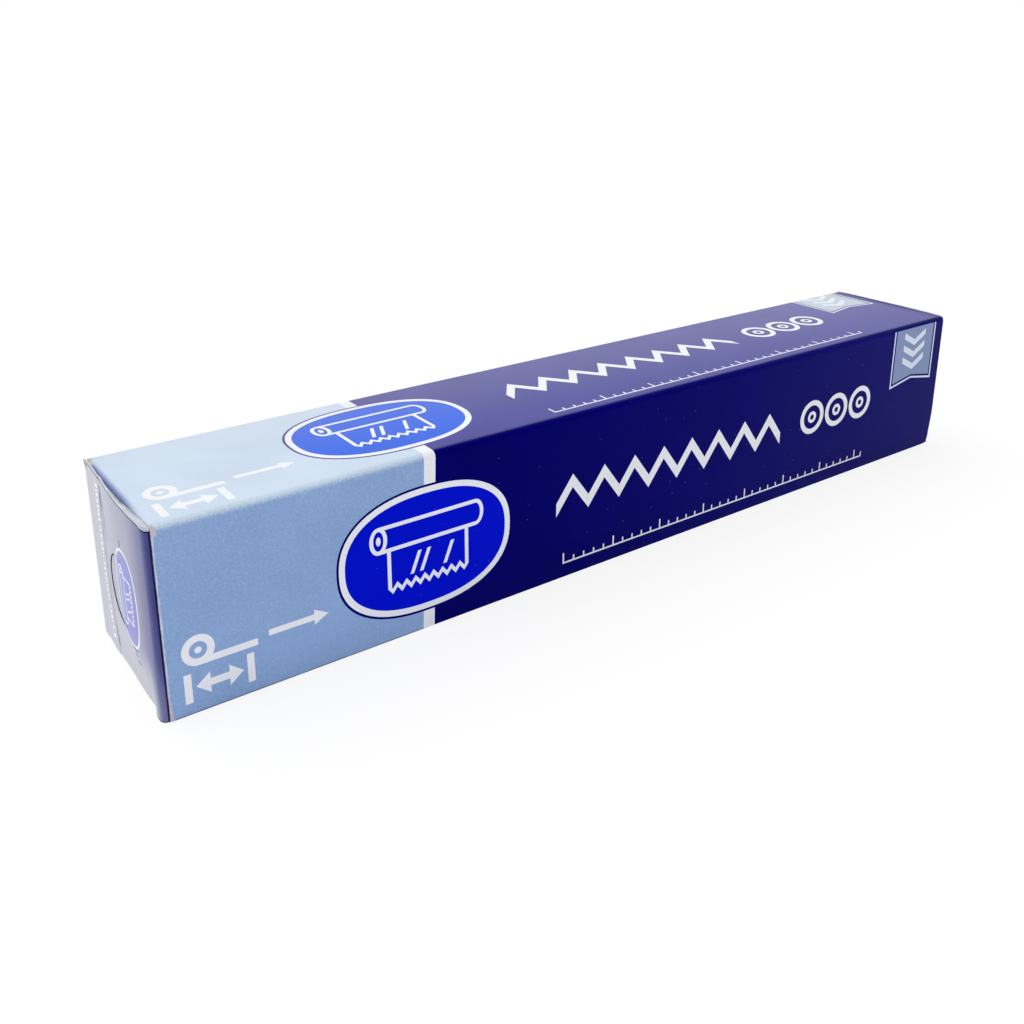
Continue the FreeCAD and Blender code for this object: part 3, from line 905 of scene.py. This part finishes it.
# The tab's curved cut, the split at the back corner, the fold's root under the lid's edge and a line along
# the foot's front are dark with painted shadow; beside the root a painted shade darkens the fold.
end_prints += [("shadow_and_marks", tab_arc(TAB_RADIUS + TAB_CUT / 2) + tab_arc(TAB_RADIUS - TAB_CUT / 2)[::-1]),
               ("curled", ragged(FLAP_BACK - 0.8, FLAP_TOP - 0.4, 3.6, 2.4)),
               ("shadow_and_marks", ragged(FLAP_BACK - 0.6, FLAP_TOP - 1.4, 0.5, 0.5)),
               ("edge", bar(root_back, 0.0, fold_back + FOLD_SHADOW, HEIGHT)),
               ("shadow_and_marks", bar(root_back, 0.0, fold_back, HEIGHT)),
               ("shadow_and_marks", bar(root_back, 0.0, FOOT_LINE_TO, FLAP_FOOT + FOOT_LINE))]


def flap_rim(back):
    """How high the flap's foot and its top are: the foot rises, and the top's front corner is cut back."""
    return (FLAP_FOOT + FOOT_RISE * ease((back - FOOT_FROM) / FOOT_GROWS),
            FLAP_TOP - FLAP_CORNER * ease((CORNER_WIDTH - back) / CORNER_WIDTH))


FLAP_STEP = 1.5
FLAP_COLUMNS, FLAP_ROWS = 31, 36
RIDGE_CLEAR = 1.2
RIDGE_STEPS = 4
backs = [FLAP_START - QUARTER * FOLD * i / FOLD_STEPS for i in range(FOLD_STEPS + 1)] + [root_back, FLAP_BACK]
backs += [back for back in (FLAP_START + FLAP_STEP * i for i in range(1, FLAP_COLUMNS + 1))
          if abs(back - RIDGE_AT) > RIDGE_CLEAR]
backs += [RIDGE_AT + RIDGE_WIDTH * i / RIDGE_STEPS for i in range(-1, RIDGE_STEPS + 2)]
backs = sorted(set(backs))
ups = [FLAP_FOOT + (FLAP_TOP - FLAP_FOOT) * i / FLAP_ROWS for i in range(FLAP_ROWS + 1)]
foot_edge = [(back, flap_rim(back)[0]) for back in backs]
top_edge = [(back, flap_rim(back)[1]) for back in backs[::-1]]
# Painted shade along the flap's top edge, stopping short of the back.
shaded_top_edge = [(back, high) for back, high in top_edge if back < FLAP_BACK - TOP_SHADE_GAP]
painted_top_shade = [(back, high + OVER) for back, high in shaded_top_edge]
painted_top_shade += [(back, high - TOP_SHADE_DEPTH) for back, high in shaded_top_edge[::-1]]
flat_flap = cut_sheet(foot_edge + top_edge, end_prints + [("edge", painted_top_shade)], backs, ups)
for side, end in ((-1, "left"), (1, "right")):
    flap = fold_sheet(f"outer_flap_{end}", flat_flap, flap_place(side), BOARD, END_INKS, raw_board,
                      mirrored=side < 0)
    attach(flap, "root")
    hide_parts("foil_carton")

# Under the outer flap lie the glued dust flaps, seen only as raw edges along the top and the foot, with
# thin dark gaps between them. They fill the bow of the outer flap.
LAYER_GAP = 0.04
LAYER_PITCH = 0.8
LEAST_REACH = 0.05
LAYER_TOPS = (0.26, 0.4, 0.52)
LAYER_FOOT = BOARD + 0.05
LAYER_STEP, LAYER_ROWS = 3.0, 16
SUNK = 0.45
SUNK_FROM, SUNK_GROWS = 5.0, 8.0
for side, end in ((-1, "left"), (1, "right")):
    for layer, drop in enumerate(LAYER_TOPS):
        inward = (layer + 1) * (BOARD + LAYER_GAP)
        turns = FOLD_STEPS if inward + BOARD < FOLD else 0
        backs = [FLAP_START - QUARTER * FOLD * i / FOLD_STEPS for i in range(turns, 0, -1)]
        backs += [FLAP_START + LAYER_PITCH * i for i in range(int((FLAP_BACK - FLAP_START) / LAYER_PITCH))]
        backs = [back for back in backs if reach(back) - inward > LEAST_REACH]
        ups = [LAYER_FOOT + LAYER_STEP * i for i in range(LAYER_ROWS + 1)]
        layer_outline = [(back, LAYER_FOOT) for back in backs]
        layer_outline += [(back, HEIGHT - drop - SUNK * ease((back - SUNK_FROM) / SUNK_GROWS))
                          for back in backs[::-1]]
        flat_layer = cut_sheet(layer_outline, [], backs, ups)
        piece = fold_sheet(f"dust_flap_{end}_{layer + 1}", flat_layer, flap_place(side, inward), BOARD,
                           {"ground": raw_board}, raw_board, mirrored=side < 0)
        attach(piece, "root")
        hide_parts("foil_carton")

# The floor is a plain pale sweep. It shows white, and keeps the carton's soft shadow.
FLOOR_HALF = 6.0
FLOOR_DROP = 0.05
FLOOR_LIFT = 0.8
FLOOR_WHITE = 1.04
FLOOR_SHADES = (0.95, 0.97)
FLOOR_PATTERN = 3.0
FLOOR_ROUGHNESS = 0.9


def seen_directly(tree):
    """1 where the camera sees a thing, also mirrored or through something clear, and 0 for its light."""
    path = add_node(tree, "ShaderNodeLightPath")
    seen = reckon(tree, "MAXIMUM", path.outputs["Is Camera Ray"], path.outputs["Is Glossy Ray"])
    return reckon(tree, "MAXIMUM", seen, path.outputs["Is Transmission Ray"])


floor_mesh = bpy.data.meshes.new("floor")
floor_mesh.from_pydata([(-FLOOR_HALF, -FLOOR_HALF, 0), (FLOOR_HALF, -FLOOR_HALF, 0),
                        (FLOOR_HALF, FLOOR_HALF, 0), (-FLOOR_HALF, FLOOR_HALF, 0)], [], [(0, 1, 2, 3)])
floor = bpy.data.objects.new("floor", floor_mesh)
floor.location.z = -FLOOR_DROP * MM
bpy.context.scene.collection.objects.link(floor)
floor_paint, tree = new_material("matt_white_floor_paint")
grain = add_node(tree, "ShaderNodeTexNoise", {"Scale": FLOOR_PATTERN}).outputs[0]
tint = ramp(tree, grain, (0.0, 1.0), *FLOOR_SHADES)
shader = add_node(tree, "ShaderNodeBsdfPrincipled",
                  {"Roughness": FLOOR_ROUGHNESS, "Specular IOR Level": 0.0}, {"Base Color": tint})
white = add_node(tree, "ShaderNodeEmission", {"Color": linear("#ffffff"), "Strength": FLOOR_WHITE})
lift = reckon(tree, "MULTIPLY", seen_directly(tree), FLOOR_LIFT)
mixed = add_node(tree, "ShaderNodeMixShader", links={0: lift, 1: shader.outputs[0], 2: white.outputs[0]})
add_node(tree, "ShaderNodeOutputMaterial", links={"Surface": mixed.outputs[0]})
floor_mesh.materials.append(floor_paint)

# Plain soft studio light: an even pale room and one broad lamp above, behind the carton and to its left.
ROOM_LEVEL = 0.72
world = bpy.data.worlds.new("studio")
bpy.context.scene.world = world
world.use_nodes = True
tree = world.node_tree
tree.nodes.clear()
level = ramp(tree, seen_directly(tree), (0.0, 1.0), ROOM_LEVEL, 1.0)
room = add_node(tree, "ShaderNodeBackground", {"Color": linear("#ffffff")}, {"Strength": level})
add_node(tree, "ShaderNodeOutputWorld", links={"Surface": room.outputs[0]})

SUN_ANGLE = 50.0
SUN_LEVEL = 0.95
SUN_FROM = Vector((-0.35, 0.55, 1.0))
sun_data = bpy.data.lights.new("soft_lamp", "SUN")
sun_data.angle = math.radians(SUN_ANGLE)
sun_data.energy = SUN_LEVEL
sun = bpy.data.objects.new("soft_lamp", sun_data)
sun.rotation_euler = SUN_FROM.to_track_quat("Z", "Y").to_euler()
bpy.context.scene.collection.objects.link(sun)

# The camera stands where the photograph was taken: to the left of the carton, in front and above. Its turn
# is in degrees, from looking straight down.
EYE = Vector((-219.51, -253.54, 163.43))
EYE_TURN = (72.32594, -0.12354, -36.08223)
PICTURE_PX = 1024
FOCAL_PX = 1078.51
AXIS_ROW_PX = 360
SENSOR = 36.0
camera_data = bpy.data.cameras.new("camera")
camera_data.sensor_width = SENSOR
camera_data.lens = SENSOR * FOCAL_PX / PICTURE_PX
camera_data.shift_y = (AXIS_ROW_PX - PICTURE_PX / 2) / PICTURE_PX
camera_data.clip_start = 0.01
camera = bpy.data.objects.new("camera", camera_data)
turn = Euler([math.radians(angle) for angle in EYE_TURN])
camera.matrix_world = Matrix.LocRotScale(EYE * MM, turn, None)
bpy.context.scene.collection.objects.link(camera)
bpy.context.scene.camera = camera
bpy.context.scene.view_settings.view_transform = "Standard"
